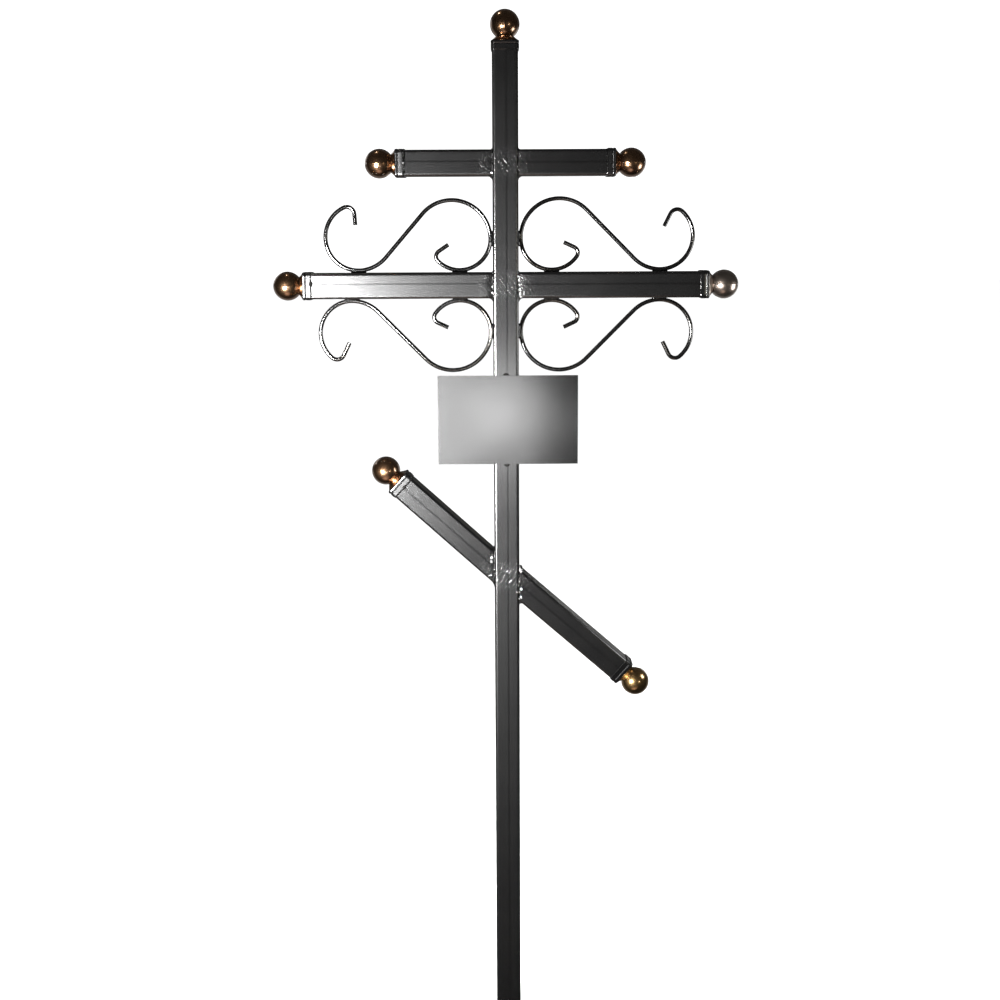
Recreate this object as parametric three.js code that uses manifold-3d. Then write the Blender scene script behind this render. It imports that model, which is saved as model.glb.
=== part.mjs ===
// A grave cross with eight ends, welded from square steel tube. It has a ball finial on a
// pressed cap at each free end, four S scrolls of round rod and a blank name plate.
// Millimetres, +Z up. The front faces -Y, left and right are the viewer's, and the origin is
// on the ground in the middle of the post, where the post is cut off flat.

import * as THREE from "three";
import { mergeVertices } from "three/addons/utils/BufferGeometryUtils.js";
import Module from "manifold-3d";

const wasm = await Module();
wasm.setup();

// Square tube of the post and the arms
const tubeSide = 40;
const tubeWall = 2;
const tubeCornerRadius = 3.5;

// Left between pieces that touch
const gap = 0.3;

// Heights: the main arms' middle line above the ground, the clear space between the main and the
// upper arms, and what stands above the upper arms to the end of the post's tube
const mainArmHeight = 1240;
const clearAboveMainArm = 146;
const clearAboveUpperArm = 159.5;

// How far below the main arms' middle line the slanted arms' middle lines cross the post's
const slantLeftDrop = 466.5;
const slantRightDrop = 460;

// How far each arm's tube reaches along its middle line from the post's, and how steeply the
// slanted ones lean, in degrees. Each of these is cut and welded by itself, so the two don't
// quite line up.
const upperReach = 168;
const mainReach = 314.5;
const slantLeftReach = 233.5;
const slantRightReach = 251.5;
const slantLeftAngle = 42.2;
const slantRightAngle = 41.2;

// Finial: a ball on a neck that flares out to a square cap, pushed over the end of a tube
const ballRadius = 22.5;
const neckRadius = 13.8;
const flareHeight = 6.6;
const capEdgeRadius = 2.2;
const capSheet = 1.2;
const skirtLength = 13.5;

// Name plate, and how far its middle is below the main arms' middle line and beside the post's
const plateWidth = 220;
const plateHeight = 140;
const plateThickness = 2;
const plateDrop = 209.5;
const plateShift = 2.5;

// Scroll of bent round rod, from the tail inside the curl next to the post to the outer tail.
// Turns are in degrees.
const rodDiameter = 6.5;
const innerTailLength = 18;
const innerBend = { radius: 9.7, turn: 101 };
const innerCurl = { radius: 48, turn: 140 };
const innerCurlRunOutRadius = 60;
const outerCurlRunInRadius = 58;
const outerCurlRunInTurn = 41;
const outerCurlRadius = 50.5;
const outerBendRadius = 11.6;

// The rods are bent by hand, and the upper left one came out shorter than the other three
const usualScroll = {
  runOutTurn: 139.5,
  diagonal: 104.5,
  curlTurn: 143,
  bendTurn: 105,
  tailLength: 21.5,
};
const shorterScroll = {
  runOutTurn: 134,
  diagonal: 88,
  curlTurn: 163,
  bendTurn: 111,
  tailLength: 17,
};

// How finely round surfaces are cut into flats. A path cuts each of its arcs into twice as many
// steps as the curve segments that it is asked for.
const tubeCornerSteps = 4;
const finialCornerSteps = 5;
const ballStepsToWaist = 3;
const ballStepsToTop = 6;
const flareSteps = 3;
const capEdgeSteps = 2;
const rodSides = 8;
const degreesPerRodStep = 14;

const black = new THREE.MeshStandardMaterial({ color: 0x1b1b1c, roughness: 0.42, metalness: 0.35 });
const bronze = new THREE.MeshStandardMaterial({ color: 0x4a3420, roughness: 0.22, metalness: 0.9 });

const radians = THREE.MathUtils.degToRad;
const tubeHalf = tubeSide / 2;
const rodRadius = rodDiameter / 2;
const upperArmHeight = mainArmHeight + tubeSide + clearAboveMainArm;
const postHeight = upperArmHeight + tubeHalf + clearAboveUpperArm;

const cross = new THREE.Group();

function addMesh(parent, name, geometry, material) {
  const mesh = new THREE.Mesh(geometry, material);
  mesh.name = name;
  parent.add(mesh);
  return mesh;
}

// A geometry with its shared corners merged and no collapsed triangles.
function closed(geometry) {
  const bare = new THREE.BufferGeometry();
  bare.setAttribute("position", geometry.getAttribute("position"));
  bare.setIndex(geometry.index);
  const merged = mergeVertices(bare, 1e-4);
  const kept = [];
  for (let i = 0; i < merged.index.count; i += 3) {
    const [a, b, c] = [0, 1, 2].map((k) => merged.index.getX(i + k));
    if (a !== b && b !== c && c !== a) kept.push(a, b, c);
  }
  merged.setIndex(kept);
  return merged;
}

function solidOf(geometry) {
  const shell = closed(geometry);
  return new wasm.Manifold(
    new wasm.Mesh({
      numProp: 3,
      vertProperties: new Float32Array(shell.getAttribute("position").array),
      triVerts: new Uint32Array(shell.index.array),
    }),
  );
}

function geometryOf(solid) {
  const mesh = solid.getMesh();
  const geometry = new THREE.BufferGeometry();
  geometry.setAttribute("position", new THREE.BufferAttribute(mesh.vertProperties, 3));
  geometry.setIndex(new THREE.BufferAttribute(mesh.triVerts, 1));
  geometry.computeVertexNormals();
  return geometry;
}

// The outline of a square with rounded corners, as a path for a shape or a hole.
function roundedSquare(path, half, corner) {
  const side = half - corner;
  path.absarc(side, side, corner, 0, Math.PI / 2);
  path.absarc(-side, side, corner, Math.PI / 2, Math.PI);
  path.absarc(-side, -side, corner, Math.PI, 1.5 * Math.PI);
  path.absarc(side, -side, corner, 1.5 * Math.PI, 2 * Math.PI);
  path.closePath();
  return path;
}

// Square tube along +Z from 0 to its length, open at both ends.
function tubeGeometry(length) {
  const section = roundedSquare(new THREE.Shape(), tubeHalf, tubeCornerRadius);
  const inside = tubeHalf - tubeWall;
  section.holes.push(roundedSquare(new THREE.Path(), inside, tubeCornerRadius - tubeWall));
  return new THREE.ExtrudeGeometry(section, {
    depth: length,
    bevelEnabled: false,
    curveSegments: tubeCornerSteps / 2,
  });
}

// An arm of tube that leaves the post's middle line at its rise, cut to fit the post's side.
function armGeometry(reach, rise) {
  const tube = tubeGeometry(reach);
  tube.rotateY(radians(90 - rise));
  const clear = tubeSide + 2 * gap;
  const post = new THREE.BoxGeometry(clear, clear, 4 * reach);
  return geometryOf(solidOf(tube).subtract(solidOf(post)).decompose()[0]);
}

// One ring of a finial: a rounded square at a height above the end of the tube.
function ring(half, corner, height) {
  const points = [];
  for (let quarter = 0; quarter < 4; quarter++) {
    for (let step = 0; step <= finialCornerSteps; step++) {
      const angle = (Math.PI / 2) * (quarter + step / finialCornerSteps);
      const middle = (Math.PI / 2) * (quarter + 0.5);
      const side = (half - corner) * Math.SQRT2;
      points.push([
        side * Math.cos(middle) + corner * Math.cos(angle),
        side * Math.sin(middle) + corner * Math.sin(angle),
        height,
      ]);
    }
  }
  return points;
}

// A closed skin over a row of rings. The first and the last ring have shrunk to a point.
function skin(rings) {
  const count = rings[0].length;
  const index = [];
  for (let row = 0; row + 1 < rings.length; row++) {
    for (let i = 0; i < count; i++) {
      const next = (i + 1) % count;
      const [a, b] = [row * count + i, row * count + next];
      index.push(a, b, b + count, a, b + count, a + count);
    }
  }
  const geometry = new THREE.BufferGeometry();
  geometry.setAttribute("position", new THREE.Float32BufferAttribute(rings.flat(2), 3));
  geometry.setIndex(index);
  return closed(geometry);
}

// The finial stands on +Z with the end of the tube at 0. Its rings run from the middle of the
// pocket's ceiling down the pocket, round the rim, up the skirt, over the cap and the neck, and
// over the ball to its top.
function finialGeometry() {
  const pocketHalf = tubeHalf + gap;
  const pocketCorner = tubeCornerRadius + gap;
  const capHalf = pocketHalf + capSheet;
  const capCorner = pocketCorner + capSheet;
  const capTop = gap + capSheet;
  const rim = capTop - skirtLength;
  const rings = [
    ring(0, 0, gap),
    ring(pocketHalf, pocketCorner, gap),
    ring(pocketHalf, pocketCorner, rim),
    ring(capHalf, capCorner, rim),
  ];
  for (let step = 0; step <= capEdgeSteps; step++) {
    const angle = (Math.PI / 2) * (step / capEdgeSteps);
    const inward = capEdgeRadius * (1 - Math.cos(angle));
    const height = capTop - capEdgeRadius * (1 - Math.sin(angle));
    rings.push(ring(capHalf - inward, capCorner - inward, height));
  }
  const neckSlope = Math.asin(neckRadius / ballRadius);
  const ballMiddle = capTop + flareHeight + ballRadius * Math.cos(neckSlope);
  const flareFoot = capHalf - capEdgeRadius;
  const footCorner = capCorner - capEdgeRadius;
  for (let step = 1; step <= flareSteps; step++) {
    const share = step / flareSteps;
    const half = flareFoot + (neckRadius - flareFoot) * share;
    const corner = footCorner + (half - footCorner) * share;
    rings.push(ring(half, corner, capTop + flareHeight * share));
  }
  const ballRing = (angle) => {
    const radius = ballRadius * Math.sin(angle);
    return ring(radius, radius, ballMiddle - ballRadius * Math.cos(angle));
  };
  const waist = Math.PI / 2;
  for (let step = 1; step <= ballStepsToWaist; step++) {
    rings.push(ballRing(neckSlope + (waist - neckSlope) * (step / ballStepsToWaist)));
  }
  for (let step = 1; step < ballStepsToTop; step++) {
    rings.push(ballRing(waist + waist * (step / ballStepsToTop)));
  }
  rings.push(ring(0, 0, ballMiddle + ballRadius));
  return skin(rings);
}

// The middle line of a rod bent in the XZ plane, made of straight and round stretches. Its
// parameter runs evenly over the steps that the stretches are cut into.
class BentRod extends THREE.Curve {
  constructor(stretches) {
    super();
    this.stretches = [];
    this.steps = 0;
    let [x, z, heading] = [0, 0, 0];
    for (const { radius = 0, turn = 0, length = 0 } of stretches) {
      const angle = radians(turn);
      const steps = Math.max(1, Math.round(Math.abs(turn) / degreesPerRodStep));
      const side = Math.sign(angle) * radius;
      const centre = [x - side * Math.sin(heading), z + side * Math.cos(heading)];
      const stretch = { x, z, heading, side, angle, length, centre, steps, first: this.steps };
      this.stretches.push(stretch);
      this.steps += steps;
      [x, z] = this.place(stretch, 1);
      heading += angle;
    }
  }

  place({ x, z, heading, side, angle, length, centre }, share) {
    if (!angle) {
      const run = length * share;
      return [x + run * Math.cos(heading), z + run * Math.sin(heading)];
    }
    const facing = heading + angle * share;
    return [centre[0] + side * Math.sin(facing), centre[1] - side * Math.cos(facing)];
  }

  getPoint(t, target = new THREE.Vector3()) {
    const step = Math.min(Math.max(t, 0), 1) * this.steps;
    const stretch = this.stretches.findLast(({ first }) => first <= step) ?? this.stretches[0];
    const [x, z] = this.place(stretch, (step - stretch.first) / stretch.steps);
    return target.set(x, 0, z);
  }

  getUtoTmapping(u) {
    return u;
  }
}

// A scroll in the corner between the post's side and the arm's top, both at 0. It is turned
// until the lowest points of its two curls are level, and moved until it touches both.
function scrollGeometry({ runOutTurn, diagonal, curlTurn, bendTurn, tailLength }) {
  const rod = new BentRod([
    { length: innerTailLength },
    { radius: innerBend.radius, turn: -innerBend.turn },
    { radius: innerCurl.radius, turn: -innerCurl.turn },
    { radius: innerCurlRunOutRadius, turn: -runOutTurn },
    { length: diagonal },
    { radius: outerCurlRunInRadius, turn: outerCurlRunInTurn },
    { radius: outerCurlRadius, turn: curlTurn },
    { radius: outerBendRadius, turn: bendTurn },
    { length: tailLength },
  ]);
  const inner = rod.stretches[2].centre;
  const outer = rod.stretches[6].centre;
  const [run, rise] = [outer[0] - inner[0], outer[1] - inner[1]];
  const level = Math.asin((outerCurlRadius - innerCurl.radius) / Math.hypot(run, rise));
  const turn = level - Math.atan2(rise, run);
  const section = new THREE.Shape().absarc(0, 0, rodRadius, 0, 2 * Math.PI);
  const geometry = new THREE.ExtrudeGeometry(section, {
    steps: rod.steps,
    extrudePath: rod,
    curveSegments: rodSides / 2,
  });
  geometry.translate(-inner[0], 0, -inner[1]);
  geometry.rotateY(-turn);
  const clear = innerCurl.radius + rodRadius + gap;
  geometry.translate(clear, 0, clear);
  return geometry;
}

// Post with its finial
addMesh(cross, "post", tubeGeometry(postHeight), black);
addMesh(cross, "finial_top", finialGeometry(), bronze).position.z = postHeight;

// Arms with their finials. An arm is built to the right, and half a turn puts it on the left.
const arms = [
  ["upper", "left", upperArmHeight, upperReach, 0],
  ["upper", "right", upperArmHeight, upperReach, 0],
  ["main", "left", mainArmHeight, mainReach, 0],
  ["main", "right", mainArmHeight, mainReach, 0],
  ["slant", "left", mainArmHeight - slantLeftDrop, slantLeftReach, slantLeftAngle],
  ["slant", "right", mainArmHeight - slantRightDrop, slantRightReach, -slantRightAngle],
];
for (const [level, side, height, reach, rise] of arms) {
  const group = new THREE.Group();
  group.position.z = height;
  group.rotation.z = side === "left" ? Math.PI : 0;
  cross.add(group);
  addMesh(group, `${level}_arm_${side}`, armGeometry(reach, rise), black);
  const finial = addMesh(group, `finial_${level}_${side}`, finialGeometry(), bronze);
  const slope = radians(rise);
  finial.position.set(reach * Math.cos(slope), 0, reach * Math.sin(slope));
  finial.rotation.y = radians(90 - rise);
}

// Scrolls, two on the main arms and two hanging under them. The corner that each one fills is
// reached by half a turn about one of the three axes.
const scrolls = [
  ["scroll_upper_right", usualScroll, [0, 0, 0]],
  ["scroll_upper_left", shorterScroll, [0, 0, Math.PI]],
  ["scroll_lower_right", usualScroll, [Math.PI, 0, 0]],
  ["scroll_lower_left", usualScroll, [0, Math.PI, 0]],
];
for (const [name, bends, turns] of scrolls) {
  const corner = new THREE.Group();
  corner.position.z = mainArmHeight;
  corner.rotation.set(...turns);
  cross.add(corner);
  addMesh(corner, name, scrollGeometry(bends), black).position.set(tubeHalf, 0, tubeHalf);
}

// Name plate on the front of the post
const plate = new THREE.BoxGeometry(plateWidth, plateThickness, plateHeight);
const plateSeat = tubeHalf + gap + plateThickness / 2;
const plateMiddle = mainArmHeight - plateDrop;
addMesh(cross, "name_plate", plate, black).position.set(plateShift, -plateSeat, plateMiddle);

export default cross;
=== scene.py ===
"""Dresses the welded tube cross: smooth rounded tubes, pressed caps with bronze balls, bent rods,
the blank plate, and the weld metal that holds them together."""

import itertools
import math
import random
from typing import NamedTuple

import bpy
from mathutils import Matrix, Vector, noise


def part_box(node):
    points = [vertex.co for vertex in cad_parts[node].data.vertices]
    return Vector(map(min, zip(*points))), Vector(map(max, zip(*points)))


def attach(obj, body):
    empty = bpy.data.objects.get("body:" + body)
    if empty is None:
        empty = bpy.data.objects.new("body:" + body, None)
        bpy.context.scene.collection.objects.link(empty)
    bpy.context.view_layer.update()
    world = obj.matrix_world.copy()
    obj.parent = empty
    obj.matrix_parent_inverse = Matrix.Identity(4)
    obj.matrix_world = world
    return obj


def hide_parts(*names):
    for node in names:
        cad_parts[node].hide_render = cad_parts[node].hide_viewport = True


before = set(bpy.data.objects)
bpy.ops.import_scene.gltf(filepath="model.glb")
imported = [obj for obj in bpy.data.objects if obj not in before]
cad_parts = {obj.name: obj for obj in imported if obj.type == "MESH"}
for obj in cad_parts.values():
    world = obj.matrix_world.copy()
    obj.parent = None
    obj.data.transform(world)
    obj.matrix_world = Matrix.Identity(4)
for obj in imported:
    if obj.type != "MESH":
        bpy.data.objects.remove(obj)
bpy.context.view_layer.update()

# Sizes shared with the frame, in metres
CORNER = 0.0043
WALL = 0.002
GAP = 0.0003
CAP_SHEET = 0.0012
CAP_EDGE = 0.0022
SKIRT = 0.0135
FLARE = 0.0066
NECK = 0.0138
BALL = 0.0225
ROD = 0.00325

# Slanted arms: how far below the main arms they cross the post, their reach from its middle line,
# and their lean in degrees
SLANT_LEFT = {"drop": 0.4665, "reach": 0.2335, "rise": 42.2}
SLANT_RIGHT = {"drop": 0.460, "reach": 0.2515, "rise": -41.2}

# Bent rod, from its inner end to its outer one. Straight stretches have a length, and round ones
# have a radius and a turn in degrees. USUAL_SCROLL and SHORTER_SCROLL have the lengths and turns
# that aren't the same in every scroll
INNER_TAIL = 0.018
INNER_BEND = (0.0097, -101)
INNER_CURL = (0.048, -140)
RUN_OUT = 0.060
RUN_IN = (0.058, 41)
OUTER_CURL = 0.0505
OUTER_BEND = 0.0116
USUAL_SCROLL = {"run_out": 139.5, "diagonal": 0.1045, "curl": 143, "bend": 105, "tail": 0.0215}
SHORTER_SCROLL = {"run_out": 134, "diagonal": 0.088, "curl": 163, "bend": 111, "tail": 0.017}

# Groove round each cap: its width, and how far below the cap's top it runs
GROOVE_WIDTH = 0.0024
GROOVE_DROP = 0.0052

# Weld metal: legs of the fillets below and above an arm, how much a lump's outer side slopes to
# the left, beads on each side of a joint, and drops of spatter thrown beside it
FILLET = 0.005
SMALL_FILLET = 0.0022
LUMP_SLOPE = 0.28
BEADS = 6
DROPS = 9

# Weld along a curl: half its length, half its width at its tips, and how much that half grows
# between them
CURL_WELD = 0.012
CURL_WELD_TIP = 0.0004
CURL_WELD_SIDE = 0.0032

# Grinding beside the joints: length of the ground hollow, how far the strokes reach and fade,
# their slope in degrees, and the height at which that slope is mirrored
GRIND_LENGTH = 0.0105
STROKES_REACH = 0.027
STROKES_FADE = 0.01
STROKES_SLOPE = 38
STROKES_TURN_AT = 1.0

# Sheet of the plate, how far it stands back from the front of its box, and how wavy it is. BOW is
# how far its sides bend back. CORNER_BOW adds to that at the right corners and takes from it at
# the left ones
PLATE_SHEET = 0.0018
PLATE_INSET = 0.0002
PLATE_WAVE = 0.00015
BOW = 0.001
CORNER_BOW = 0.001

# How finely the surfaces are cut. HOLD keeps flat sides flat beside their round corners
CORNER_STEPS = 8
HOLD = 0.0006
TUBE_STEP = 0.008
GRIND_STEP = 0.0012
RIM_STEP = 0.0015
FLARE_STEPS = 10
BALL_STEPS = 28
ROD_STEP = 0.006
ROD_DEGREES = 4
ROD_SIDES = 16
PLATE_ROWS = 28
PLATE_COLUMNS = 44

# Places read from the frame
post_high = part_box("post")[1]
HALF = post_high.x
MAIN = (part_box("main_arm_right")[0].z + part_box("main_arm_right")[1].z) / 2
UPPER = (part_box("upper_arm_right")[0].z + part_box("upper_arm_right")[1].z) / 2
MAIN_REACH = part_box("main_arm_right")[1].x
UPPER_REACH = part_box("upper_arm_right")[1].x
plate_low, plate_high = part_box("name_plate")


# Meshes
def add(name, points, faces, material, nodes=(), place=Matrix(), smooth=40):
    """A piece of the dressed part. nodes are the solids that it replaces, and edges that turn by
    more than smooth degrees stay sharp."""
    mesh = bpy.data.meshes.new(name)
    mesh.from_pydata([tuple(p) for p in points], [], faces)
    mesh.validate()
    piece = bpy.data.objects.new(name, mesh)
    bpy.context.scene.collection.objects.link(piece)
    mesh.materials.append(material)
    mesh.shade_smooth()
    mesh.set_sharp_from_angle(angle=math.radians(smooth))
    piece.matrix_world = place
    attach(piece, "root")
    if nodes:
        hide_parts(*nodes)
    return piece


def rounded_square(half, corner, hold=HOLD):
    """Points round a square with rounded corners. hold adds a point on the flat side just off each
    end of a corner, which keeps the flat sides flat in the shading."""
    points = []
    reach = (half - corner) * math.sqrt(2)
    for quarter in range(4):
        start = math.pi / 2 * quarter
        middle = start + math.pi / 4
        arc = []
        for step in range(CORNER_STEPS + 1):
            angle = start + math.pi / 2 * step / CORNER_STEPS
            x = reach * math.cos(middle) + corner * math.cos(angle)
            y = reach * math.sin(middle) + corner * math.sin(angle)
            arc.append((x, y))
        if hold:
            end = start + math.pi / 2
            first, last = arc[0], arc[-1]
            arc.insert(0, (first[0] + hold * math.sin(start), first[1] - hold * math.cos(start)))
            arc.append((last[0] - hold * math.sin(end), last[1] + hold * math.cos(end)))
        points.extend(arc)
    return points


def skin(rings, closed_end=False, closed_start=False):
    """Points and faces of a row of rings that all have the same number of points."""
    count = len(rings[0])
    points = [p for ring in rings for p in ring]
    faces = []
    for row in range(len(rings) - 1):
        for i in range(count):
            j = (i + 1) % count
            a, b = row * count + i, row * count + j
            faces.append((a, b, b + count, a + count))
    if closed_start:
        faces.append(tuple(reversed(range(count))))
    if closed_end:
        faces.append(tuple(range((len(rings) - 1) * count, len(rings) * count)))
    return points, faces


def sweep(path, radius, sides, closed=False):
    """A round bar along a path of points. radius is a function of the share of the way and the
    angle round the bar."""
    last = len(path) - 1
    rings = []
    side = None
    for i, point in enumerate(path):
        before = path[(i - 1) % len(path)] if closed else path[max(i - 1, 0)]
        after = path[(i + 1) % len(path)] if closed else path[min(i + 1, last)]
        along = (after - before).normalized()
        if side is None:
            side = along.orthogonal().normalized()
        side = (side - along * side.dot(along)).normalized()
        up = along.cross(side)
        ring = []
        for k in range(sides):
            angle = 2 * math.pi * k / sides
            r = radius(i / last, angle)
            ring.append(point + side * (r * math.cos(angle)) + up * (r * math.sin(angle)))
        rings.append(ring)
    if closed:
        rings.append(rings[0])
    return skin(rings, closed_end=not closed, closed_start=not closed)


def join(parts):
    """One list of points and one of faces from several."""
    points, faces = [], []
    for more_points, more_faces in parts:
        shift = len(points)
        points.extend(more_points)
        faces.extend(tuple(i + shift for i in face) for face in more_faces)
    return points, faces


# Materials
class Nodes:
    """The nodes of a material or of the world, with short ways to add and join them."""

    def __init__(self, owner):
        owner.use_nodes = True
        self.tree = owner.node_tree

    def add(self, kind, inputs=(), **settings):
        node = self.tree.nodes.new(kind)
        for key, value in settings.items():
            setattr(node, key, value)
        for key, value in dict(inputs).items():
            self.feed(node, key, value)
        return node

    def feed(self, node, key, value):
        if isinstance(value, bpy.types.NodeSocket):
            self.tree.links.new(value, node.inputs[key])
        else:
            node.inputs[key].default_value = value

    def maths(self, kind, a, b=0.0):
        return self.add("ShaderNodeMath", {0: a, 1: b}, operation=kind).outputs[0]

    def fade(self, value, start, end, low=0.0, high=1.0, easing="SMOOTHSTEP"):
        inputs = {"Value": value, "From Min": start, "From Max": end, "To Min": low, "To Max": high}
        node = self.add("ShaderNodeMapRange", inputs, interpolation_type=easing)
        return node.outputs["Result"]

    def split(self, vector):
        return self.add("ShaderNodeSeparateXYZ", {0: vector}).outputs

    def place(self):
        return self.add("ShaderNodeNewGeometry").outputs["Position"]

    def noise(self, scale, detail=2.0, where=None, roughness=0.5):
        inputs = {"Scale": scale, "Detail": detail, "Roughness": roughness}
        inputs["Vector"] = self.place() if where is None else where
        return self.add("ShaderNodeTexNoise", inputs).outputs["Fac"]

    def blend(self, share, dark, light):
        """Mixes two colours. The node has sockets of other kinds between these."""
        inputs = {0: share, 6: (*dark, 1), 7: (*light, 1)}
        return self.add("ShaderNodeMix", inputs, data_type="RGBA").outputs[2]

    def bump(self, height, distance, under=None):
        inputs = {"Height": height, "Distance": distance, "Strength": 1.0}
        if under is not None:
            inputs["Normal"] = under
        return self.add("ShaderNodeBump", inputs).outputs["Normal"]


class Material(Nodes):
    """A new material built round one shader."""

    def __init__(self, name):
        self.material = bpy.data.materials.new(name)
        super().__init__(self.material)
        self.shader = self.tree.nodes["Principled BSDF"]

    def finish(self, color, roughness, normal, **others):
        self.feed(self.shader, "Base Color", color)
        self.feed(self.shader, "Roughness", roughness)
        self.feed(self.shader, "Normal", normal)
        for key, value in others.items():
            self.feed(self.shader, key.replace("_", " "), value)
        return self.material


def beside_seam(n, seam):
    """0 on the weld line along a tube's front and 1 beside it. The line wanders a little."""
    across = n.split(n.add("ShaderNodeTexCoord").outputs["Object"])["X"]
    wander = n.maths("MULTIPLY", n.maths("SUBTRACT", n.noise(12, 1), 0.5), 0.001)
    offset = n.maths("ADD", n.maths("SUBTRACT", across, seam), wander)
    return n.fade(n.maths("ABSOLUTE", offset), 0.0006, 0.002)


def grinder_strokes(n):
    """Slanted strokes beside the joints, mirrored above and below STROKES_TURN_AT."""
    near = n.add("ShaderNodeAttribute", attribute_name="near_weld").outputs["Fac"]
    where = n.split(n.place())
    folded = n.maths("ABSOLUTE", n.maths("SUBTRACT", where["Z"], STROKES_TURN_AT))
    folded = n.add("ShaderNodeCombineXYZ", {"X": where["X"], "Z": folded}).outputs["Vector"]
    turn = {"Vector": folded, "Rotation": (0, math.radians(STROKES_SLOPE), 0)}
    turned = n.add("ShaderNodeMapping", turn).outputs["Vector"]
    stretch = {"Vector": turned, "Scale": (480, 1, 55)}
    stretched = n.add("ShaderNodeMapping", stretch).outputs["Vector"]
    return n.maths("MULTIPLY", n.fade(n.noise(1.0, 1, stretched), 0.45, 0.65), near)


def paint(name, rough, seam=None, welds=False, peel=0.00004, dusted=False, shine=1.0):
    """Black enamel brushed over bare steel. peel is the relief of its grain, and shine is 1 for
    full gloss. seam is where the tube's own weld line runs along its front, welds adds the strokes
    of a grinder, and dusted adds a little bronze lacquer that drifted over from the balls."""
    n = Material(name)
    cloud = n.noise(35, 4)
    color = n.blend(cloud, (0.0009, 0.0009, 0.001), (0.0018, 0.0017, 0.0016))
    roughness = n.fade(cloud, 0.3, 0.7, rough * 0.985, rough * 1.015)
    normal = n.bump(n.noise(450, 3, roughness=0.6), peel)
    normal = n.bump(n.noise(90, 2), 0.000012, under=normal)
    if seam is not None:
        beside = beside_seam(n, seam)
        normal = n.bump(beside, 0.00004, under=normal)
        roughness = n.maths("MULTIPLY", roughness, n.fade(beside, 0.0, 1.0, 0.82, 1.0))
    if welds:
        normal = n.bump(grinder_strokes(n), 0.000075, under=normal)
    if dusted:
        drift = n.fade(n.noise(7, 2), 0.45, 0.7)
        n.feed(n.shader, "Specular Tint", n.blend(drift, (1.0, 1.0, 1.0), (1.0, 0.88, 0.74)))
    return n.finish(color, roughness, normal, Specular_IOR_Level=shine)


def soot(name):
    """Bare weld metal, burnt black and dull."""
    n = Material(name)
    cloud = n.noise(500, 2)
    color = n.blend(cloud, (0.001, 0.001, 0.001), (0.004, 0.0035, 0.003))
    return n.finish(color, 0.7, n.bump(cloud, 0.0002), Specular_IOR_Level=0.1)


def bronze(name, dark, light, rough):
    """Bronze lacquer rubbed over the turned steel ball."""
    n = Material(name)
    cloud = n.noise(70, 3)
    color = n.blend(cloud, dark, light)
    roughness = n.fade(cloud, 0.3, 0.7, rough * 0.95, rough * 1.05)
    normal = n.bump(n.noise(260, 2), 0.000015)
    return n.finish(color, roughness, normal, Metallic=1.0, Coat_Weight=1.0, Coat_Roughness=0.04)


weld_paint = paint("weld_paint", 0.21, peel=0.00006)
cap_paint = paint("cap_paint", 0.22)
rod_paint = paint("rod_paint", 0.16, peel=0.000006, dusted=True)
plate_paint = paint("plate_paint", 0.218, peel=0.00002)
ball_bronze = bronze("ball_bronze", (0.17, 0.095, 0.05), (0.27, 0.155, 0.085), 0.235)
# The main right ball has a paler, greyer and rougher bronze than the rest: a painted reflection of
# the bright floor below it
floor_reflection_bronze = bronze("floor_reflection_bronze", (0.2, 0.165, 0.14), (0.28, 0.23, 0.195), 0.31)
golden_bronze = bronze("golden_bronze", (0.24, 0.15, 0.06), (0.36, 0.23, 0.1), 0.245)
weld_soot = soot("weld_soot")
ODD_BALLS = {"main_right": floor_reflection_bronze, "slant_right": golden_bronze}

# The left caps of the main and slanted arms are duller than the rest, so that their dark lines
# show in the brightest light. The lowest cap is darker: painted shade, a less shiny copy of the cap
# paint. CAPS has each cap's paint, the finish and radius of the weld along its rim, and the depth
# of its groove
dull_paint = paint("dull_cap_paint", 0.3, shine=0.45)
shade_cap_paint = paint("painted_shade_cap_paint", 0.19, shine=0.25)
CAPS = {
    "top": (cap_paint, weld_paint, 0.0006, 0.001),
    "upper_left": (cap_paint, weld_paint, 0.0014, 0.0004),
    "upper_right": (cap_paint, weld_paint, 0.0005, 0.0005),
    "main_left": (dull_paint, weld_soot, 0.0008, 0.0012),
    "main_right": (cap_paint, weld_paint, 0.0005, 0.0004),
    "slant_left": (dull_paint, weld_soot, 0.0009, 0.0012),
    "slant_right": (shade_cap_paint, weld_soot, 0.0003, 0.0014),
}


# Tubes
class Arm(NamedTuple):
    """One arm. rise is in degrees, seam is the place of the tube's own weld line, rough and peel
    are the paint's roughness and the relief of its grain, and ground is the depth of grinding."""

    row: str
    side: str
    height: float
    reach: float
    rise: float
    seam: float
    rough: float
    peel: float
    ground: float

    @property
    def direction(self):
        return -1 if self.side == "left" else 1

    @property
    def lean(self):
        return math.radians(self.rise)

    @property
    def outward(self):
        return Vector((self.direction * math.cos(self.lean), 0, math.sin(self.lean)))

    @property
    def place(self):
        """The arm's own frame: its Z runs outward from the post's middle line and its X is up."""
        up = Vector((-self.direction * math.sin(self.lean), 0, math.cos(self.lean)))
        across = self.outward.cross(up)
        turned = Matrix((up, across, self.outward)).transposed().to_4x4()
        return Matrix.Translation((0, 0, self.height)) @ turned


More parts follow.
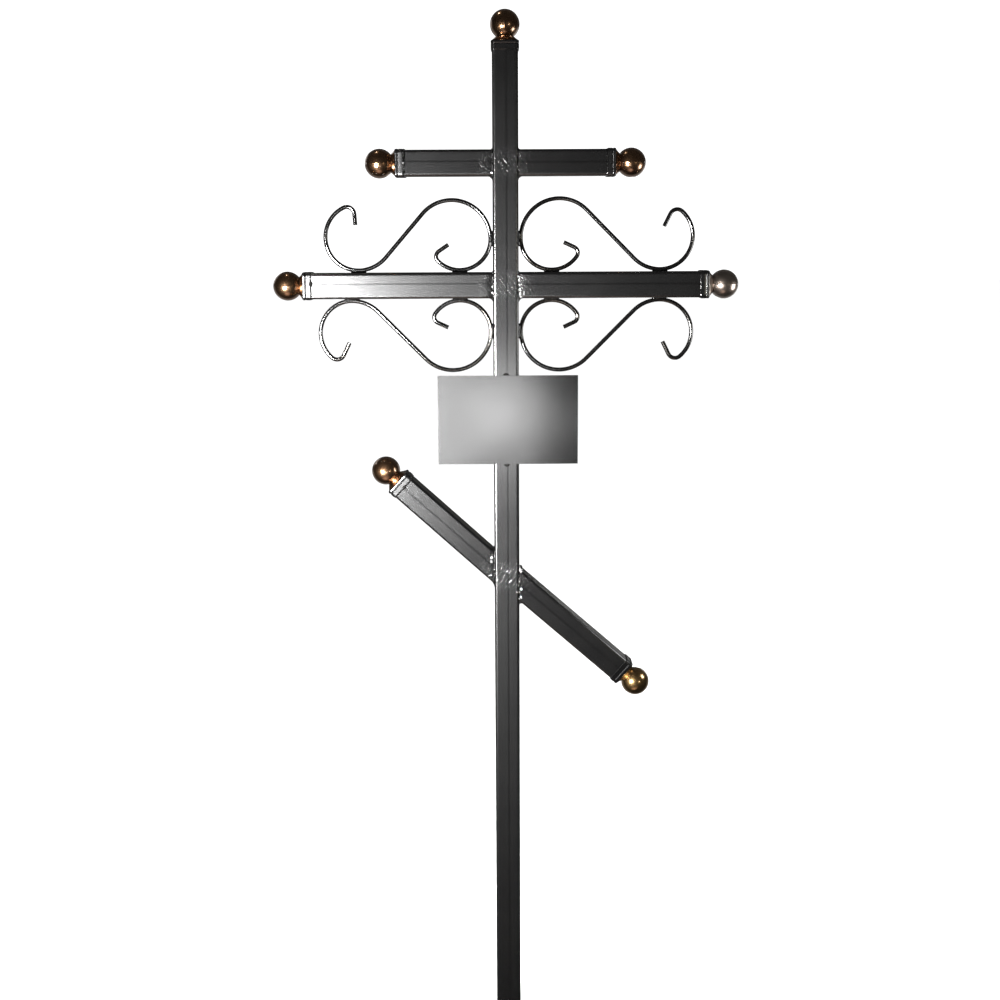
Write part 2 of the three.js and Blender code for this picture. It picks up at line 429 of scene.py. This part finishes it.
slant_left = (MAIN - SLANT_LEFT["drop"], SLANT_LEFT["reach"], SLANT_LEFT["rise"])
slant_right = (MAIN - SLANT_RIGHT["drop"], SLANT_RIGHT["reach"], SLANT_RIGHT["rise"])
ARMS = [
    Arm("upper", "left", UPPER, UPPER_REACH, 0, 0.0026, 0.213, 0.00004, 0.0003),
    Arm("upper", "right", UPPER, UPPER_REACH, 0, 0.001, 0.212, 0.00004, 0.0002),
    Arm("main", "left", MAIN, MAIN_REACH, 0, 0.0035, 0.234, 0.00004, 0.0013),
    Arm("main", "right", MAIN, MAIN_REACH, 0, 0.002, 0.215, 0.00004, 0.0006),
    Arm("slant", "left", *slant_left, 0.001, 0.197, 0.0001, 0.0003),
    Arm("slant", "right", *slant_right, 0.002, 0.187, 0.00004, 0.0002),
]


def tube(name, start, length, lean, place, material, joints, ground=0.0):
    """Square tube along Z from start to length. lean cuts its start to the post's side, joints are
    the places of its welds, and ground is how deep the grinder went into its front and back beside
    the post."""
    marks = round(GRIND_LENGTH / GRIND_STEP) if ground else 0
    past = marks * GRIND_STEP
    steps = max(2, round((length - start - past) / TUBE_STEP))

    def ring(half, corner, run, share):
        sunk = 1 - ground / HALF * (1 - run / past) ** 1.6 if run < past else 1
        row = []
        for x, y in rounded_square(half, corner):
            first = run + start / math.cos(lean) + x * math.tan(lean) if start else 0.0
            row.append((x, y * sunk, first + (length - first) * share))
        return row

    ends = [ring(HALF, CORNER, GRIND_STEP * i, 0.0) for i in range(marks)]
    outside = ends + [ring(HALF, CORNER, past, i / steps) for i in range(steps + 1)]
    inside = [ring(HALF - WALL, CORNER - WALL, past, 1.0)]
    inside.append(ring(HALF - WALL, CORNER - WALL, 0.0, 0.0))
    points, faces = skin(outside + inside + [outside[0]])
    piece = add(name + "_tube", points, faces, material, (name,), place)
    near = piece.data.attributes.new("near_weld", "FLOAT", "POINT")
    for i, vertex in enumerate(piece.data.vertices):
        gap = min(abs(vertex.co.z - joint) for joint in joints)
        near.data[i].value = min(1.0, max(0.0, (STROKES_REACH - gap) / STROKES_FADE))


post_paint = paint("post_paint", 0.223, 0.0023, True)
tube("post", 0.0, post_high.z, 0.0, Matrix(), post_paint, [arm.height for arm in ARMS])

# Finials stand on the end of a tube, with that end at 0 on their own Z
cap_half = HALF + GAP + CAP_SHEET
cap_corner = CORNER + GAP + CAP_SHEET
cap_top = GAP + CAP_SHEET
cap_rim = cap_top - SKIRT


def level(half, corner, height, hold=HOLD):
    return [(x, y, height) for x, y in rounded_square(half, corner, hold)]


def skirt_rings(groove_depth):
    """Down the inside of the cap's skirt, round its rim, up its outside and over its edge."""
    rings = [level(cap_half - CAP_SHEET, cap_corner - CAP_SHEET, cap_top - CAP_EDGE)]
    rings.append(level(cap_half - CAP_SHEET, cap_corner - CAP_SHEET, cap_rim))
    rings.append(level(cap_half - CAP_SHEET * 0.9, cap_corner - CAP_SHEET * 0.9, cap_rim))
    rings.append(level(cap_half, cap_corner, cap_rim + CAP_SHEET * 0.8))
    groove = cap_top - GROOVE_DROP
    for across, depth in ((-0.5, 0.0), (0.0, groove_depth), (0.5, 0.0)):
        height = groove + across * GROOVE_WIDTH
        rings.append(level(cap_half - depth, cap_corner - depth, height))
    for step in range(CORNER_STEPS + 1):
        angle = math.pi / 2 * step / CORNER_STEPS
        inward = CAP_EDGE * (1 - math.cos(angle))
        height = cap_top - CAP_EDGE * (1 - math.sin(angle))
        rings.append(level(cap_half - inward, cap_corner - inward, height))
    return rings


def ball_rings():
    """From the cap's flat top over the straight flare and round the ball."""
    foot = cap_half - CAP_EDGE
    foot_corner = cap_corner - CAP_EDGE
    rings = [level(foot + 0.0001, foot_corner, cap_top - 0.0001, 0)]
    for step in range(FLARE_STEPS + 1):
        share = step / FLARE_STEPS
        half = foot + (NECK - foot) * share
        corner = foot_corner + (half - foot_corner) * share
        rings.append(level(half, corner, cap_top + FLARE * share, 0))
    slope = math.asin(NECK / BALL)
    middle = cap_top + FLARE + BALL * math.cos(slope)
    for step in range(1, BALL_STEPS):
        angle = slope + (math.pi - slope) * step / BALL_STEPS
        radius = BALL * math.sin(angle)
        rings.append(level(radius, radius, middle - BALL * math.cos(angle), 0))
    return rings


def rim_weld(bead, seed):
    """An uneven bead of weld metal round the tube, just below the cap's rim."""
    height = cap_rim - bead * 0.6
    loop = [Vector((x, y, height)) for x, y in rounded_square(HALF + 0.0002, CORNER)]
    path = []
    for a, b in zip(loop, loop[1:] + loop[:1]):
        pieces = max(1, round((b - a).length / RIM_STEP))
        path.extend(a.lerp(b, i / pieces) for i in range(pieces))

    def radius(share, angle):
        return bead * (1 + 0.45 * noise.noise(Vector((share * 60, angle, seed))))

    return sweep(path, radius, 8, closed=True)


def finial(end, place, seed):
    name = "finial_" + end
    skirt_paint, weld, bead, groove_depth = CAPS[end]
    points, faces = skin(skirt_rings(groove_depth))
    add(name + "_skirt", points, faces, skirt_paint, (name,), place, 20)
    points, faces = skin(ball_rings(), closed_end=True)
    lacquer = ODD_BALLS.get(end, ball_bronze)
    add(name + "_ball", points, faces, lacquer, (name,), place, 30)
    points, faces = rim_weld(bead, seed)
    add(name + "_rim_weld", points, faces, weld, (), place)


finial("top", Matrix.Translation((0, 0, post_high.z)), 0)
for number, arm in enumerate(ARMS, 1):
    name = f"{arm.row}_arm_{arm.side}"
    arm_paint = paint(name + "_paint", arm.rough, arm.seam, True, arm.peel)
    tube(name, HALF + GAP, arm.reach, arm.lean, arm.place, arm_paint, [HALF], arm.ground)
    end_place = arm.place @ Matrix.Translation((0, 0, arm.reach))
    finial(f"{arm.row}_{arm.side}", end_place, number)


# Scrolls
def rod_path(stretches):
    """Points along the rod in the XZ plane, and the middles of its round stretches."""
    x, z, heading = 0.0, 0.0, 0.0
    points, middles = [(x, z)], []
    for radius, turn, length in stretches:
        if not turn:
            steps = max(2, round(length / ROD_STEP))
            for i in range(1, steps + 1):
                run = length * i / steps
                points.append((x + run * math.cos(heading), z + run * math.sin(heading)))
            middles.append(None)
        else:
            angle = math.radians(turn)
            bend = math.copysign(radius, angle)
            middle_x = x - bend * math.sin(heading)
            middle_z = z + bend * math.cos(heading)
            steps = max(3, round(abs(turn) / ROD_DEGREES))
            for i in range(1, steps + 1):
                facing = heading + angle * i / steps
                across = middle_x + bend * math.sin(facing)
                points.append((across, middle_z - bend * math.cos(facing)))
            heading += angle
            middles.append((middle_x, middle_z))
        x, z = points[-1]
    return points, middles


def scroll(name, bends, flip_x, flip_z):
    """A scroll whose two curls lie on the main arm, and its inner one on the post as well."""
    stretches = [
        (0, 0, INNER_TAIL),
        (*INNER_BEND, 0),
        (*INNER_CURL, 0),
        (RUN_OUT, -bends["run_out"], 0),
        (0, 0, bends["diagonal"]),
        (*RUN_IN, 0),
        (OUTER_CURL, bends["curl"], 0),
        (OUTER_BEND, bends["bend"], 0),
        (0, 0, bends["tail"]),
    ]
    points, middles = rod_path(stretches)
    inner, outer = Vector(middles[2]), Vector(middles[6])
    span = outer - inner
    turn = math.asin((OUTER_CURL - INNER_CURL[0]) / span.length) - math.atan2(span.y, span.x)
    clear = INNER_CURL[0] + ROD + GAP
    corner = Vector((HALF + clear, HALF + clear))
    spin = Matrix.Rotation(turn, 2)

    def seat(point):
        flat = spin @ (Vector(point) - inner) + corner
        return Vector((flip_x * flat.x, 0, MAIN + flip_z * flat.y))

    path = [seat(p) for p in points]
    points, faces = sweep(path, lambda share, angle: ROD, ROD_SIDES)
    add(name + "_rod", points, faces, rod_paint, (name,))
    outer_x = (spin @ span + corner).x
    welds = [
        (Vector((flip_x * (HALF + clear), 0, MAIN + flip_z * HALF)), Vector((1, 0, 0)), flip_z),
        (Vector((flip_x * outer_x, 0, MAIN + flip_z * HALF)), Vector((1, 0, 0)), flip_z),
        (Vector((flip_x * HALF, 0, MAIN + flip_z * (HALF + clear))), Vector((0, 0, 1)), flip_x),
    ]
    for index, (spot, along, away) in enumerate(welds):
        curl_weld(f"{name}_weld_{index + 1}", spot, along, away, index)


def curl_weld(name, spot, along, away, seed):
    """Weld metal that fills the two narrow wedges where a curl lies against a flat side."""
    out = Vector((away, 0, 0)) if along.z else Vector((0, 0, away))
    widest = CURL_WELD_SIDE + CURL_WELD_TIP
    steps = 24
    rings = []
    for i in range(steps + 1):
        share = -1 + 2 * i / steps
        run = CURL_WELD * share
        rise = run * run / (2 * INNER_CURL[0]) + ROD * 0.9
        wide = CURL_WELD_SIDE * max(0.0, 1 - abs(share) ** 5) ** 0.5 + CURL_WELD_TIP
        ring = []
        for k in range(12):
            angle = 2 * math.pi * k / 12
            rough = 1 + 0.16 * noise.noise(Vector((share * 5, angle, seed)))
            high = (rise / 2) * (1 + math.sin(angle)) * (0.35 + 0.65 * wide / widest) - 0.0003
            beside = Vector((0, wide * rough * math.cos(angle), 0))
            ring.append(spot + along * run + out * high + beside)
        rings.append(ring)
    points, faces = skin(rings, closed_end=True, closed_start=True)
    add(name, points, faces, weld_paint)


scroll("scroll_upper_right", USUAL_SCROLL, 1, 1)
scroll("scroll_upper_left", SHORTER_SCROLL, -1, 1)
scroll("scroll_lower_right", USUAL_SCROLL, 1, -1)
scroll("scroll_lower_left", USUAL_SCROLL, -1, -1)

# Welds between the arms and the post. LUMPS has those that stand proud of each joint: how far
# beside the post, and how high on the joint, as shares of half its height
LUMPS = {
    ("upper", "left"): (0.0005, (0.3, -0.7)),
    ("upper", "right"): (0.001, (0.6, -0.4)),
    ("main", "left"): (0.0008, (0.65, 0.2, -0.5)),
    ("main", "right"): (0.0018, (0.72, 0.42, -0.28, -0.62, -0.85)),
    ("slant", "left"): (0.0062, (0.62, 0.42, 0.22, 0.02, -0.73)),
    ("slant", "right"): (0.0024, (0.92, 0.4, -0.16, -0.64)),
}


def blob(centre, size, seed, rough=0.25, facing=0.0):
    """A small lump of weld metal. size is half its width, depth and height, and facing slopes its
    front to the left."""
    rings = []
    for i in range(1, 8):
        polar = math.pi * i / 8
        wide = math.sin(polar)
        ring = []
        for k in range(12):
            angle = 2 * math.pi * k / 12
            out = Vector((wide * math.cos(angle), wide * math.sin(angle), math.cos(polar)))
            swell = 1 + rough * noise.noise(out * 1.7 + Vector((seed, 0, 0)))
            x, y, z = out.x * size[0], out.y * size[1], out.z * size[2]
            ring.append(Vector(centre) + Vector((x, y - facing * x, z)) * swell)
        rings.append(ring)
    return skin(rings, closed_end=True, closed_start=True)


def fillet(corner, along_a, along_b, leg, half_width, seed):
    """Weld metal in the inner corner between two flat sides, run across the tube."""
    rows = 20
    rings = []
    for i in range(rows + 1):
        y = half_width * (2 * i / rows - 1)
        size = leg * (1 + 0.22 * noise.noise(Vector((y * 160, seed, 0))))
        ring = [corner - (along_a + along_b) * 0.0006]
        for k in range(7):
            share = k / 6
            bulge = -0.16 * math.sin(math.pi * share)
            bulge += 0.06 * noise.noise(Vector((y * 420, share * 4, seed)))
            flat = along_a * (1 - share) + along_b * share
            ring.append(corner + flat * (size * (1 + bulge)))
        rings.append([point + Vector((0, y, 0)) for point in ring])
    return skin(rings, closed_end=True, closed_start=True)


def joint_weld(arm, scatter, seeds):
    """The fillets below and above an arm, and the lumps and beads on its joint's front and back."""
    half_cut = HALF / math.cos(arm.lean)
    middle = arm.height + HALF * math.tan(arm.lean)
    lumps_beside, shares = LUMPS[arm.row, arm.side]

    def seat(front, beside, share, sunk):
        z = middle + half_cut * share + beside * math.tan(arm.lean)
        return (arm.direction * (HALF + beside), front * (HALF - sunk), z)

    parts = []
    for end, leg in ((-1, FILLET), (1, SMALL_FILLET)):
        corner = Vector((arm.direction * HALF, 0, middle + end * half_cut))
        upright = Vector((0, 0, end))
        parts.append(fillet(corner, arm.outward, upright, leg, HALF * 0.9, next(seeds)))
    for front in (-1, 1):
        for share in shares:
            beside = lumps_beside + scatter.uniform(-0.0012, 0.0012)
            spot = seat(front, beside, share, 0.0001)
            size = scatter.uniform(0.0014, 0.0025)
            sizes = (size, 0.0009, size * 1.5)
            parts.append(blob(spot, sizes, next(seeds), 0.9, -LUMP_SLOPE * front))
        for _ in range(BEADS):
            beside = scatter.uniform(-0.001, 0.001)
            spot = seat(front, beside, scatter.uniform(-0.9, 0.9), 0.0006)
            size = scatter.uniform(0.0006, 0.0014)
            parts.append(blob(spot, (size, 0.0013, size * 1.6), next(seeds), 0.6))
    return parts


def spatter(arm, scatter):
    """Drops thrown on the front of the tubes beside a joint. Those that would miss the tubes are
    left out."""
    drops = []
    for _ in range(DROPS):
        x = arm.direction * (HALF + scatter.gauss(0.004, 0.008))
        z = arm.height + HALF * math.tan(arm.lean) + scatter.gauss(0, 0.016)
        off_middle = abs(z - arm.height - abs(x) * math.tan(arm.lean))
        if abs(x) > HALF and off_middle > HALF * 0.85 / math.cos(arm.lean):
            continue
        size = scatter.uniform(0.0003, 0.0007)
        drops.append(blob((x, -HALF, z), (size, size * 0.7, size), scatter.random() * 9))
    return drops


scatter = random.Random(11)
seeds = itertools.count(1)
points, faces = join([part for arm in ARMS for part in joint_weld(arm, scatter, seeds)])
add("joint_welds", points, faces, weld_paint)
points, faces = join([drop for arm in ARMS for drop in spatter(arm, scatter)])
add("spatter", points, faces, weld_paint)


# Plate: thin sheet, welded at the middle of its top and bottom edges
def plate_point(i, j, back):
    u, v = i / PLATE_COLUMNS, j / PLATE_ROWS
    x = plate_low.x + (plate_high.x - plate_low.x) * u
    z = plate_low.z + (plate_high.z - plate_low.z) * v
    across, up = 2 * u - 1, 2 * v - 1
    y = plate_low.y + PLATE_INSET + PLATE_WAVE * noise.noise(Vector((u * 3.1, v * 2.3, 4.0)))
    y += BOW * across**2
    y += CORNER_BOW * across**3 * up**2
    return (x, y + PLATE_SHEET if back else y, z)


def plate_sheet():
    """Front and back of the plate as grids of points, and the strip round its edge."""
    rows, columns = range(PLATE_ROWS), range(PLATE_COLUMNS)
    row_length = PLATE_COLUMNS + 1
    shift = (PLATE_ROWS + 1) * row_length
    points, faces = [], []
    for back in (False, True):
        for j in range(PLATE_ROWS + 1):
            points.extend(plate_point(i, j, back) for i in range(row_length))
    for j in rows:
        for i in columns:
            a = j * row_length + i
            quad = (a, a + 1, a + row_length + 1, a + row_length)
            faces.append(quad)
            faces.append(tuple(k + shift for k in reversed(quad)))
    edge = [(i, 0) for i in columns] + [(PLATE_COLUMNS, j) for j in rows]
    edge += [(i + 1, PLATE_ROWS) for i in reversed(columns)] + [(0, j + 1) for j in reversed(rows)]
    numbers = [j * row_length + i for i, j in edge]
    for a, b in zip(numbers, numbers[1:] + numbers[:1]):
        faces.append((b, a, a + shift, b + shift))
    return points, faces


points, faces = plate_sheet()
add("name_plate_sheet", points, faces, plate_paint, ("name_plate",))

# Tack welds on the plate's edges
plate_tacks = [
    blob((-0.0003, -HALF - 0.0012, plate_high.z + 0.0012), (0.0045, 0.0011, 0.0026), 1),
    blob((0.0006, -HALF - 0.0012, plate_low.z - 0.0014), (0.0042, 0.0011, 0.0028), 2),
]
points, faces = join(plate_tacks)
add("plate_tacks", points, faces, weld_soot)

# Tack welds on the rims of some caps: how far above the arm's middle line, half the size upward,
# out of the tube and along it, and finish
TACKS = {
    ("main", "left"): (0.0035, (0.0046, 0.0015, 0.0029), weld_soot),
    ("slant", "left"): (0.002, (0.0044, 0.0015, 0.003), weld_soot),
    ("upper", "left"): (0.0012, (0.0028, 0.0012, 0.0016), weld_paint),
    ("main", "right"): (-0.0014, (0.0012, 0.0008, 0.0022), weld_paint),
}
arm_at = {(arm.row, arm.side): arm for arm in ARMS}
for (row, side), (above, size, weld) in TACKS.items():
    arm = arm_at[row, side]
    spot = Vector((above, arm.direction * (HALF + 0.0006), arm.reach + cap_rim))
    points, faces = blob(spot, size, above * 1000)
    add(f"tack_{row}_{side}", points, faces, weld, (), arm.place)

# Floor and light
floor_mesh = bpy.data.meshes.new("floor")
span = 40.0
floor_corners = [(-span, -span, 0), (span, -span, 0), (span, span, 0), (-span, span, 0)]
floor_mesh.from_pydata(floor_corners, [], [(0, 1, 2, 3)])
floor = bpy.data.objects.new("floor", floor_mesh)
floor.location.z = -0.0005
bpy.context.scene.collection.objects.link(floor)
pale_floor = Material("pale_floor")
pale = pale_floor.blend(pale_floor.noise(3, 3), (0.86, 0.86, 0.86), (0.9, 0.9, 0.9))
grit = pale_floor.bump(pale_floor.noise(40), 0.0003)
floor_mesh.materials.append(pale_floor.finish(pale, 0.9, grit))
floor.visible_glossy = False


def light_world(n):
    """White all round the camera's view, but a dim room in the reflections, a little lighter low
    down and lighter still low behind the cross."""
    n.tree.nodes.clear()
    aim = n.split(n.add("ShaderNodeTexCoord").outputs["Generated"])
    behind = n.fade(aim["Y"], 0.35, 0.6, 0.0, 1.0, "LINEAR")
    low_behind = n.fade(aim["Z"], -0.2, 0.0, 0.3, 0.05, "LINEAR")
    low = n.fade(aim["Z"], -0.6, 0.2, 0.025, 0.013, "LINEAR")
    dim = n.maths("ADD", low, n.maths("MULTIPLY", behind, low_behind))
    room = n.add("ShaderNodeBackground", {"Color": (1.0, 0.96, 0.92, 1), "Strength": dim})
    wall = n.add("ShaderNodeBackground", {"Color": (1, 1, 1, 1), "Strength": 1.25})
    glossy = n.add("ShaderNodeLightPath").outputs["Is Glossy Ray"]
    mixed = n.add("ShaderNodeMixShader", {0: glossy, 1: wall.outputs[0], 2: room.outputs[0]})
    n.add("ShaderNodeOutputWorld", {"Surface": mixed.outputs[0]})


world = bpy.data.worlds.new("studio")
bpy.context.scene.world = world
light_world(Nodes(world))


def lamp(name, place, target, size, power, color=(1, 1, 1), spread=180):
    """An oval lamp that shines from place to target within spread degrees. The camera doesn't see
    the lamp itself."""
    data = bpy.data.lights.new(name, "AREA")
    data.shape = "ELLIPSE"
    data.size, data.size_y = size
    data.energy = power
    data.color = color
    data.spread = math.radians(spread)
    light = bpy.data.objects.new(name, data)
    light.location = place
    light.rotation_euler = (Vector(target) - Vector(place)).to_track_quat("-Z", "Y").to_euler()
    light.visible_camera = False
    bpy.context.scene.collection.objects.link(light)


lamp("key", (-0.81, -1.50, 0.885), (-0.35, 0, 0.73), (0.48, 0.6), 60, spread=70)
lamp("under_camera", (-0.01, -1.22, 0.895), (0, 0, 1.04), (0.22, 0.14), 0.113, spread=60)
lamp("right", (0.92, -0.13, 1.06), (0, 0, 1.1), (0.34, 0.4), 3.5)
lamp("ceiling", (-0.48, 0.19, 2.57), (0, 0, 1.1), (0.1, 0.1), 0.8, (1, 0.93, 0.8))
lamp("far_right", (2.57, -3.8, 1.13), (0, 0, 1.1), (0.24, 0.24), 10, (1, 0.95, 0.8))
lamp("bounce", (-0.2, -0.65, 0.03), (-0.1, 0, 1.25), (1.3, 0.8), 0.3, (1, 0.75, 0.62), 50)
lamp("behind_left", (-1.7, 2.1, 1.9), (0, 0, 1.0), (1.5, 1.2), 3)
lamp("behind_right", (1.5, 2.4, 0.9), (0, 0, 1.0), (1.2, 1.5), 2)
lamp("behind_low", (0.45, 2.4, 0.45), (0, 0, 0.75), (0.35, 0.25), 0.6)

# Camera, fitted to the photo's edges and balls
camera_data = bpy.data.cameras.new("camera")
camera_data.lens = 53.65
camera_data.sensor_width = 36
camera = bpy.data.objects.new("camera", camera_data)
bpy.context.scene.collection.objects.link(camera)
dip, tilt = math.radians(10.203), math.radians(-0.283)
camera.matrix_world = (
    Matrix.Translation((-0.0107, -2.3502, MAIN + 0.0819))
    @ Matrix.Rotation(math.pi / 2 - dip, 4, "X")
    @ Matrix.Rotation(tilt, 4, "Z")
)
bpy.context.scene.camera = camera
bpy.context.scene.view_settings.view_transform = "Standard"
